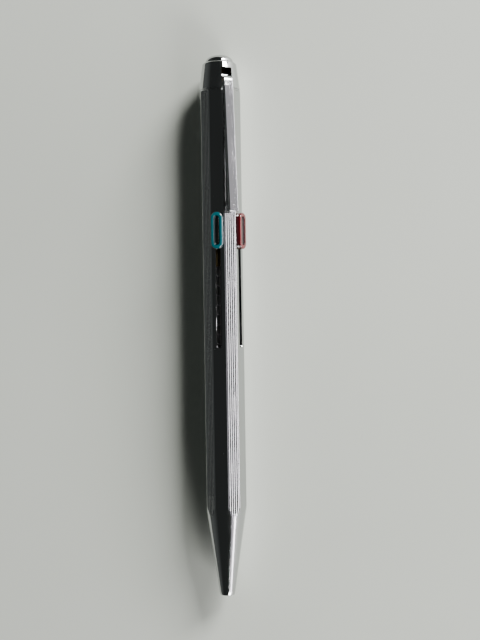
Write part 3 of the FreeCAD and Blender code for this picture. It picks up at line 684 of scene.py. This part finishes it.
def make_barrel(sizes):
    """Five sectors merged into a ring, narrowed to a round nose and slotted for the sliders."""
    piece = new_object("barrel_shell", *barrel_sector(sizes))
    inputs = [
        ("Sectors", "Int", 5), ("Tip radius", "Float", sizes.tip),
        ("Taper", "Float", sizes.taper), ("Blend", "Float", sizes.shoulder),
    ]
    tree, graph, given = geometry_tree("faceted barrel", inputs)
    points = graph.node("GeometryNodePoints", None, {"Count": given["Sectors"]})
    index = graph.node("GeometryNodeInputIndex")
    lean = graph.node("ShaderNodeCombineXYZ", None, {1: index * (4 * CORNER)})
    turn = graph.node("FunctionNodeEulerToRotation", None, {0: lean})
    sockets = {"Points": points, "Instance": given["Geometry"], "Rotation": turn}
    ring = graph.node("GeometryNodeInstanceOnPoints", None, sockets)
    real = graph.node("GeometryNodeRealizeInstances", None, {0: ring})
    whole = graph.node("GeometryNodeMergeByDistance", None, {"Geometry": real, "Distance": 1e-6})
    x, y, z = graph.split(graph.node("GeometryNodeInputPosition"))
    reach = graph.math("SQRT", x * x + z * z)
    limit = y * given["Taper"] + given["Tip radius"]
    share = graph.math("SMOOTH_MIN", reach, limit, given["Blend"]) / reach
    place = graph.node("ShaderNodeCombineXYZ", None, {0: x * share, 1: y, 2: z * share})
    shaped = graph.node("GeometryNodeSetPosition", None, {"Geometry": whole, "Position": place})
    run_tree(piece, tree, graph, shaped, inputs, "bright_chrome")
    close_up(piece)
    middle = (sizes.slot_front + sizes.slot_rear) / 2
    straight = (sizes.slot_rear - sizes.slot_front) / 2 - sizes.slot_radius
    facet = sizes.apothem / MM
    flare = [(0, 3.6), (0, facet - 0.09), (0.6, facet + 0.51)]  # widening and height
    for turn, _ in COLOURS.values():
        rows = [
            stadium(sizes.slot_radius + grow * MM, straight, high * MM, middle)
            for grow, high in flare
        ]
        spin = Matrix.Rotation(math.radians(turn), 4, "Y")
        points, faces = skin(rows)
        cut(piece, [spin @ Vector(p) for p in points], faces)
    dress(piece, "bright_chrome", "pen_body", ["barrel"])


def make_cap(sizes, barrel):
    """The seam's ring, the cap with its clip window, and the end dome on its stem."""
    front = BARREL_LENGTH
    wall = barrel.bore + 0.02 * MM
    seam = front + sizes.seam
    soft = 0.2 * MM
    profile = rounded([
        (wall, front, 0), (sizes.ring_radius, front, soft),
        (sizes.ring_radius, seam, soft), (wall, seam, 0),
    ])
    ring = new_object("seam_ring", *lathe(profile))
    dress(ring, "bright_chrome", "pen_body", ["trim_ring"])

    web, step_in = seam + sizes.length, seam + 2.1 * MM
    web_edge, web_hole = 3.62 * MM, 2.02 * MM
    profile = rounded([
        (barrel.bore, seam, 0), (sizes.radius, seam, 0.18 * MM),
        (sizes.rear_radius, seam + sizes.shoulder, 0.5 * MM), (web_edge, web, 0.04 * MM),
        (web_hole, web, 0), (web_hole, web - MM, 0), (sizes.inside, web - MM, 0),
        (sizes.inside, step_in, 0), (barrel.bore, step_in, 0),
    ], 7)
    cap = new_object("cap_shell", *lathe(profile, 160))
    low, high = seam + sizes.window_set, seam + sizes.window_set + sizes.window_length
    half = sizes.window_width / 2
    corner = 0.25 * MM
    frame_line = rounded([
        (-half, low, corner), (half, low, corner), (half, high, corner), (-half, high, corner),
    ])
    cut(cap, *skin([[(x, y, height) for x, y in frame_line] for height in (2.2 * MM, 7 * MM)]))
    dress(cap, "bright_chrome", "pen_body", ["cap"])

    rise, foot = sizes.dome_rise, sizes.dome_radius
    turns = [math.radians(4 + 86 * step / 24) for step in range(24)]
    flank, crown = 0.86, 0.94  # below 1, each makes the dome blunter than an ellipse
    blunt = [(foot * math.cos(a) ** flank, web + rise * math.sin(a) ** crown) for a in turns]
    stem, stem_end = 2 * MM, web - 1.25 * MM
    profile = [(0, stem_end), (stem, stem_end), (stem, web), (foot - 0.06 * MM, web)]
    profile += [(foot - 0.01 * MM, web + 0.03 * MM)] + blunt + [(0, web + rise)]
    finial = new_object("end_dome", *lathe(profile))
    dress(finial, "bright_chrome", "pen_body", ["finial"])


def clip_section(sizes, width, depth):
    """The clip's inverted channel across the pen, its top at height 0."""
    half, wall = width / 2, sizes.wall
    depth = max(depth, sizes.thickness + 0.02 * MM)
    soft = 0.05 * MM
    return rounded([
        (-half, -depth, soft), (-half, 0, sizes.rounding),
        (half, 0, sizes.rounding), (half, -depth, soft),
        (half - wall, -depth, soft), (half - wall, -sizes.thickness, 0),
        (wall - half, -sizes.thickness, 0), (wall - half, -depth, soft),
    ], 5)


def make_clip(sizes, barrel, cap):
    """The channel from its free end to the eye on the pin, and the foot."""
    seam = BARREL_LENGTH + cap.seam
    eye = seam + EYE_SET
    free = eye - CLIP_REACH
    neck, bend = seam + 0.05 * MM, seam + 2.15 * MM
    top, low = barrel.apothem + sizes.end_height, barrel.apothem + sizes.neck_height
    line = [(free, top), (neck, low), (bend, barrel.apothem + 0.53 * MM)]
    line += [(eye - 0.62 * MM, 5.28 * MM), (eye - 0.4 * MM, 4.83 * MM), (eye, 2.7 * MM)]
    widths = [sizes.width, sizes.width, sizes.width, 2.1 * MM, 1.8 * MM, 1.8 * MM]
    depths = [sizes.end_depth] + [sizes.thickness] * 5
    places = [(line[0], widths[0], depths[0])]
    for first in range(5):
        parts = 24 if first == 0 else 5
        for step in range(1, parts + 1):
            share = step / parts
            station = [a + (b - a) * share for a, b in zip(line[first], line[first + 1])]
            width = widths[first] + (widths[first + 1] - widths[first]) * share
            depth = depths[first] + (depths[first + 1] - depths[first]) * share
            places.append((station, width, depth))
    rows = []
    for number, ((station, height), width, depth) in enumerate(places):
        before = places[max(number - 1, 0)][0]
        after = places[min(number + 1, len(places) - 1)][0]
        along = Vector((after[0] - before[0], after[1] - before[1])).normalized()
        if number == 0:
            along = Vector((1, 0))
        section = clip_section(sizes, width, depth)
        rows.append([(x, station - z * along.y, height + z * along.x) for x, z in section])
    end = rows[0]
    rows[0] = [(x, station + 0.04 * MM, z) for x, station, z in end]
    rows.insert(0, [(x * 0.985, station, z - 0.02 * MM) for x, station, z in end])
    piece = new_object("clip_channel", *skin(rows))
    outer, inner = (arc((0, 0), radius, 0, 360, 48)[:-1] for radius in (0.8 * MM, 0.43 * MM))
    rings = ((-EYE_SIDE, inner), (-EYE_SIDE, outer), (EYE_SIDE, outer), (EYE_SIDE, inner))
    loops = [[(side, eye + a, EYE_HEIGHT + b) for a, b in ring] for side, ring in rings]
    join(piece, new_object("eye", *skin(loops, loop=True)))
    dress(piece, "bright_chrome", "clip", ["clip"])

    radius, play = sizes.foot_radius, 0.06 * MM
    bottom = barrel.apothem + play
    fall = 3.02 * MM * (top - low) / (neck - free)  # of the clip, from its free end to the foot's far side
    height = top - sizes.thickness - play - fall - bottom
    profile = arc((0, radius), radius, -90, 0, 14)
    profile += [(radius, height - 0.08 * MM), (radius - 0.08 * MM, height), (0, height)]
    points, faces = lathe(profile, 64)
    foot = free + 2.1 * MM
    points = [(x, foot + z, bottom + s) for x, s, z in points]
    peg = new_object("clip_peg", points, faces)
    dress(peg, "bright_chrome", "clip", ["clip_foot"])


def make_button(colour, turn, sizes, barrel):
    """A slot-shaped ring of tinted plastic round a ridged metal plate."""
    middle = TUBE_REAR + BUTTON_OVERHANG - sizes.length / 2
    base, top = barrel.apothem + 0.08 * MM, barrel.apothem + sizes.rise
    wide, straight = sizes.width / 2, sizes.length / 2 - sizes.width / 2
    narrow = sizes.grip_width / 2 + 0.02 * MM
    inner = sizes.grip_length / 2 - sizes.grip_width / 2
    # each row's share of painted light: painted glow at the top of the rim, fading to painted shade at the
    # foot and down the recess
    rows, painted_light = [], []

    def add(radius, run, height, amount):
        rows.append(stadium(radius, run, height, middle))
        painted_light.append(amount)

    add(wide - 0.06 * MM, straight, base, 0.2)
    add(wide - 0.02 * MM, straight, base + 0.02 * MM, 0.3)
    add(wide, straight, base + 0.06 * MM, 0.35)
    for x, z in arc((wide - sizes.rounding, top - sizes.rounding), sizes.rounding, 0, 90, 8):
        add(x, straight, z, 0.35 + 0.65 * (z - top + sizes.rounding) / sizes.rounding)
    soft = 0.14 * MM
    add((wide - sizes.rounding + narrow + soft) / 2, (straight + inner) / 2, top, 0.9)
    for x, z in arc((narrow + soft, top - soft), soft, 90, 180, 6):
        add(x, inner, z, 0.7 + 0.3 * (z - top) / soft)
    drop = sizes.grip_drop + PLATE_DEPTH
    for part in (0.35, 0.7, 1.0):
        add(narrow, inner, top - soft - (drop - soft) * part, 0.4 * (1 - part))
    points, faces = skin(rows)
    piece = new_object(f"{colour}_slider_cap", points, faces)
    amounts = [amount for amount in painted_light for _ in rows[0]]
    spots = [tuple(round(c * 1e7) for c in point) for point in points]
    by_spot = dict(zip(spots, amounts))
    by_height = dict(zip([spot[2] for spot in spots], amounts))
    # the painted light is stored on the points, for the plastic's finish
    drawn = piece.data.attributes.new("painted_light", "FLOAT", "POINT")
    for number, vertex in enumerate(piece.data.vertices):
        spot = tuple(round(c * 1e7) for c in vertex.co)
        drawn.data[number].value = by_spot.get(spot, by_height.get(spot[2], 0.4))
    dress(piece, f"{colour}_plastic", f"{colour}_slider", [f"{colour}_button"], turn, sharp=40)

    floor, crest = top - sizes.grip_drop - PLATE_DEPTH, top - sizes.grip_drop
    half = sizes.grip_width / 2
    rim = crest - sizes.grip_crown - 0.04 * MM
    rows = [stadium(half, inner, floor, middle), stadium(half, inner, rim, middle)]
    for part in (0.97, 0.9, 0.8, 0.7, 0.6, 0.5, 0.4, 0.3, 0.2, 0.1, 0.02):
        rows.append(stadium(half * part, inner, crest - sizes.grip_crown * part * part, middle))
    plate = new_object(f"{colour}_grip_plate", *skin(rows))
    bar = []
    for step in range(13):
        side = half * 0.9 * (step / 6 - 1)
        height = crest - sizes.grip_crown * (side / half) ** 2 + 0.01 * MM
        thick = 0.07 * MM * math.sqrt(max(1 - (step / 6 - 1) ** 8, 0.05))
        bar.append([(side, y, z + height) for y, z in arc((0, 0), thick, 0, 360, 12)[:-1]])
    ridge = new_object("ridge", *skin(bar))
    inputs = [
        ("Ridges", "Int", sizes.ridges), ("Pitch", "Float", sizes.ridge_pitch),
        ("Middle", "Float", middle),
    ]
    tree, graph, given = geometry_tree("grip ridges", inputs)
    start = given["Middle"] - given["Pitch"] * 0.5 * (given["Ridges"] - 1)
    first = graph.node("ShaderNodeCombineXYZ", None, {1: start})
    step = graph.node("ShaderNodeCombineXYZ", None, {1: given["Pitch"]})
    sockets = {"Count": given["Ridges"], "Start Location": first, "Offset": step}
    line = graph.node("GeometryNodeMeshLine", None, sockets)
    sockets = {"Points": line, "Instance": given["Geometry"]}
    row = graph.node("GeometryNodeInstanceOnPoints", None, sockets)
    run_tree(ridge, tree, graph, row, inputs, "grip_chrome")
    join(plate, ridge)
    dress(plate, "grip_chrome", f"{colour}_slider", [f"{colour}_grip"], turn)


def make_refill(colour, turn, sizes):
    """The nib, the ink tube and the writing ball."""
    body = f"{colour}_refill"
    front, shoulder = sizes.nib_front, sizes.nib_front + sizes.nib_length
    tip = front - 0.27 * MM
    rim, hole, waist, stem, plug = 0.36 * MM, 0.25 * MM, 0.7 * MM, 0.78 * MM, 0.93 * MM
    seat, plug_end = front + 0.48 * MM, shoulder + 3 * MM
    profile = rounded([
        (rim, front, 0), (0.4 * MM, front, 0.02 * MM), (0.45 * MM, tip + 3 * MM, 0.3 * MM),
        (0.74 * MM, tip + 8 * MM, 0.2 * MM), (stem, tip + 8.1 * MM, 0.05 * MM),
        (stem, shoulder - 4 * MM, 0), (waist, shoulder - 3.8 * MM, 0.03 * MM),
        (waist, shoulder - 3.5 * MM, 0.03 * MM), (stem, shoulder - 3.3 * MM, 0),
        (stem, shoulder, 0), (plug, shoulder, 0), (plug, plug_end, 0.05 * MM),
        (hole, plug_end, 0), (hole, seat, 0), (rim, seat, 0),
    ], 4)
    nib = new_object(f"{colour}_point", *lathe(profile, 64))
    dress(nib, "nib_brass", body, [f"{colour}_nib"], turn, sizes.offset)

    radius = sizes.tube_radius
    groove, crimp = radius - 0.07 * MM, 0.2 * MM
    profile = [(radius - crimp, shoulder), (radius - 0.05 * MM, shoulder)]
    profile += [(radius, shoulder + 0.05 * MM)]
    for middle in (1.2, 2.0, 30.0, 30.8):
        station = shoulder + middle * MM
        profile += [(radius, station - crimp), (groove, station), (radius, station + crimp)]
    rear = sizes.tube_rear
    profile += [(radius, rear - 0.1 * MM), (radius - 0.06 * MM, rear), (radius - crimp, rear)]
    tube = new_object(f"{colour}_ink_tube", *lathe(profile, 64))
    dress(tube, "refill_metal", body, [f"{colour}_refill_tube"], turn, sizes.offset)

    middle = tip + sizes.ball
    points, faces = lathe(arc((0, middle), sizes.ball, -90, 90, 24), 48)
    ball = new_object(f"{colour}_ball", points, faces)
    dress(ball, "inner_steel", body, [f"{colour}_writing_ball"], turn, sizes.offset)


def coil_tree(name, inputs):
    """A wire wound on a spiral along +Z."""
    tree, graph, given = geometry_tree(name, inputs)
    sockets = {
        "Resolution": 28, "Rotations": given["Coils"], "Start Radius": given["Radius"],
        "End Radius": given["Radius"], "Height": given["Height"],
    }
    path = graph.node("GeometryNodeCurveSpiral", None, sockets)
    sockets = {"Resolution": 10, "Radius": given["Wire"]}
    ring = graph.node("GeometryNodeCurvePrimitiveCircle", None, sockets)
    sockets = {"Curve": path, "Profile Curve": ring, "Fill Caps": True}
    return tree, graph, graph.node("GeometryNodeCurveToMesh", None, sockets)


def wind(name, radius, height, wire, coils):
    """A coil standing on the origin."""
    piece = new_object(name, [(0, 0, 0)], [])
    inputs = [
        ("Coils", "Float", coils), ("Radius", "Float", radius),
        ("Height", "Float", height), ("Wire", "Float", wire),
    ]
    tree, graph, coil = coil_tree(name, inputs)
    run_tree(piece, tree, graph, coil, inputs, "spring_steel")
    return piece


def make_spring(colour, turn, sizes):
    """A refill's return spring, pressed against its seat."""
    wire = sizes.spring_wire
    height = sizes.spring_rear - sizes.spring_front - 2 * wire
    piece = wind(f"{colour}_return_spring", sizes.spring_radius, height, wire, sizes.coils)
    lying = Matrix.Rotation(-math.pi / 2, 4, "X")
    piece.data.transform(Matrix.Translation((0, sizes.spring_front + wire, 0)) @ lying)
    dress(piece, "spring_steel", "pen_body", [f"{colour}_spring"], turn, sizes.offset, sharp=60)
    travel = JOINTS[f"{colour}_slide"]["range_m"][1]
    keep = 1 - travel / (sizes.spring_rear - SPRING_SEAT)
    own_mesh(piece)


def make_clip_spring(cap):
    """The small coil on the clip's pin."""
    piece = wind("clip_torsion_spring", 0.6 * MM, 0.4 * MM, 0.09 * MM, 2.0)
    eye = BARREL_LENGTH + cap.seam + EYE_SET
    across = Matrix.Rotation(math.pi / 2, 4, "Y")
    piece.data.transform(Matrix.Translation((EYE_SIDE + 0.14 * MM, eye, EYE_HEIGHT)) @ across)
    dress(piece, "spring_steel", "pen_body", ["clip_spring"], sharp=60)


def dress_inner_pieces():
    """Gives every CAD node that stays its own finish."""
    slots = {part["node"]: part["material_slot"] for part in frame["record"]["subparts"]}
    inner = ["front_guide", "core_rod", "latch_collar", "rear_guide", "spacer_sleeve"]
    inner += ["cap_ferrule", "clip_bracket", "clip_pin"]
    inner += [f"{colour}_carrier" for colour in COLOURS]
    for name in inner:
        for holder in frame["nodes"][name].material_slots:
            holder.link = "OBJECT"
            holder.material = finishes()[slots[name]]


def make_table(colour):
    """The pale table that the pen lies on."""
    far = TABLE_REACH
    corners = [(-far, -far, 0), (far, -far, 0), (far, far, 0), (-far, far, 0)]
    table = new_object("table", corners, [(0, 1, 2, 3)])
    table.data.materials.append(table_finish("pale table", colour))
    if table.data.polygons[0].normal.z < 0:
        table.data.flip_normals()


def make_pane(name, power, across, along, place, aim, colour):
    """A rectangular light that faces a point, one side as near to the pen's direction as it goes."""
    data = bpy.data.lights.new(name, "AREA")
    data.shape, data.size, data.size_y = "RECTANGLE", across, along
    data.energy, data.color = power, colour
    pane = bpy.data.objects.new(name, data)
    bpy.context.scene.collection.objects.link(pane)
    back = (Vector(place) - Vector(aim)).normalized()
    side = Vector((0, 1, 0)).cross(back).normalized()
    turned = Matrix((side, back.cross(side), back)).transposed().to_4x4()
    pane.matrix_world = Matrix.Translation(place) @ turned


def make_room():
    """A dim room, paler on the left, with a bright wall low on the right and a dark floor."""
    room = bpy.data.worlds.new("room")
    room.use_nodes = True
    bpy.context.scene.world = room
    tree = room.node_tree
    graph = Graph(tree)
    x, y, z = graph.split(graph.node("ShaderNodeTexCoord"))
    left = graph.ramp(x * -1, 0.5, 1.0)
    dim = graph.mix_colour(left, (0.032, 0.035, 0.034), (0.15, 0.16, 0.155))
    wall = graph.mix_colour(graph.ramp(y, -0.25, 0.15), (1.5, 1.43, 1.53), (0.72, 0.70, 0.73))
    lit = graph.mix_colour(graph.ramp(x + z * -1.6, -0.1, 0.35), dim, wall)
    shade = graph.mix_colour(graph.ramp(z, 0.03, 0.1), (0.05, 0.05, 0.05), lit)
    back = tree.nodes["Background"]
    tree.links.new(shade.socket, back.inputs["Color"])
    back.inputs["Strength"].default_value = 1.0


def make_camera():
    """The camera over the clip's side of the pen."""
    data = bpy.data.cameras.new("camera")
    data.sensor_fit, data.sensor_height, data.lens = "VERTICAL", CAMERA_SENSOR, CAMERA_LENS
    data.clip_start, data.clip_end = 0.01, 10
    camera = bpy.data.objects.new("camera", data)
    bpy.context.scene.collection.objects.link(camera)
    bpy.context.scene.camera = camera
    tilt, lean = LYING_ANGLE - CAMERA_TURN, CAMERA_LEAN
    back = Vector((math.sin(tilt), 0, math.cos(tilt)))
    across = Vector((math.cos(tilt), 0, -math.sin(tilt)))
    right = across * math.cos(lean) - Vector((0, 1, 0)) * math.sin(lean)
    up = Vector((0, 1, 0)) * math.cos(lean) + across * math.sin(lean)
    target = Vector((PEN_AXIS.x, CAMERA_STATION, PEN_AXIS.z)) + CAMERA_SHIFT * right
    turned = Matrix((right, up, back)).transposed().to_4x4()
    camera.matrix_world = Matrix.Translation(target + CAMERA_DISTANCE * back) @ turned


# ---------------------------------------------------------------- operators and panel


class PEN_OT_barrel(bpy.types.Operator):
    """Builds the faceted barrel with its nose and slots"""

    bl_idname = "pen.make_barrel"
    bl_label = "Barrel"

    def execute(self, context):
        make_barrel(context.scene.pen_barrel)
        return {"FINISHED"}


class PEN_OT_cap(bpy.types.Operator):
    """Builds the seam ring, the cap with its window and the end dome"""

    bl_idname = "pen.make_cap"
    bl_label = "Cap"

    def execute(self, context):
        make_cap(context.scene.pen_cap, context.scene.pen_barrel)
        return {"FINISHED"}


class PEN_OT_clip(bpy.types.Operator):
    """Builds the clip, its foot and its spring"""

    bl_idname = "pen.make_clip"
    bl_label = "Clip"

    def execute(self, context):
        scene = context.scene
        make_clip(scene.pen_clip, scene.pen_barrel, scene.pen_cap)
        make_clip_spring(scene.pen_cap)
        return {"FINISHED"}


class PEN_OT_sliders(bpy.types.Operator):
    """Builds the three colour buttons with their grip plates"""

    bl_idname = "pen.make_sliders"
    bl_label = "Sliders"

    def execute(self, context):
        for colour, (turn, _) in COLOURS.items():
            make_button(colour, turn, context.scene.pen_slider, context.scene.pen_barrel)
        return {"FINISHED"}


class PEN_OT_refills(bpy.types.Operator):
    """Builds the three refills with their nibs, balls and return springs"""

    bl_idname = "pen.make_refills"
    bl_label = "Refills"

    def execute(self, context):
        for colour, (_, turn) in COLOURS.items():
            make_refill(colour, turn, context.scene.pen_refill)
            make_spring(colour, turn, context.scene.pen_refill)
        return {"FINISHED"}


class PEN_OT_inner_pieces(bpy.types.Operator):
    """Gives the guides, carriers and other inner pieces their finishes"""

    bl_idname = "pen.dress_inner_pieces"
    bl_label = "Inner pieces"

    def execute(self, context):
        dress_inner_pieces()
        return {"FINISHED"}


class PEN_OT_stage(bpy.types.Operator):
    """Builds the table, the lights and the camera"""

    bl_idname = "pen.make_stage"
    bl_label = "Table, light and camera"

    def execute(self, context):
        make_table(tuple(context.scene.pen_finishes.table))
        for pane in PANES:
            make_pane(*pane)
        make_room()
        make_camera()
        return {"FINISHED"}


class PEN_PT_panel(bpy.types.Panel):
    """A button for each group of pieces, with all the sizes and colours below"""

    bl_label = "Slider Pen"
    bl_idname = "PEN_PT_panel"
    bl_space_type = "VIEW_3D"
    bl_region_type = "UI"
    bl_category = "Slider Pen"

    def draw(self, context):
        for operator in OPERATORS:
            self.layout.operator(operator.bl_idname)
        for name in SETTINGS:
            box = self.layout.box()
            group = getattr(context.scene, name)
            for key in group.__annotations__:
                box.prop(group, key)


OPERATORS = (
    PEN_OT_barrel, PEN_OT_cap, PEN_OT_clip, PEN_OT_sliders, PEN_OT_refills, PEN_OT_inner_pieces,
    PEN_OT_stage,
)
SETTINGS = {
    "pen_barrel": BarrelSizes, "pen_cap": CapSizes, "pen_clip": ClipSizes,
    "pen_slider": SliderSizes, "pen_refill": RefillSizes, "pen_finishes": Finishes,
}
CLASSES = (*SETTINGS.values(), *OPERATORS, PEN_PT_panel)


def register():
    """Registers the classes and hangs the settings on the scene."""
    for item in CLASSES:
        bpy.utils.register_class(item)
    for name, group in SETTINGS.items():
        setattr(bpy.types.Scene, name, PointerProperty(type=group))


def unregister():
    """Takes off what register put on."""
    for name in SETTINGS:
        delattr(bpy.types.Scene, name)
    for item in reversed(CLASSES):
        bpy.utils.unregister_class(item)


def main():
    """Builds everything."""
    register()
    for step in ("make_barrel", "make_cap", "make_clip", "make_sliders", "make_refills",
                 "dress_inner_pieces", "make_stage"):
        getattr(bpy.ops.pen, step)()


if __name__ == "__main__":
    main()
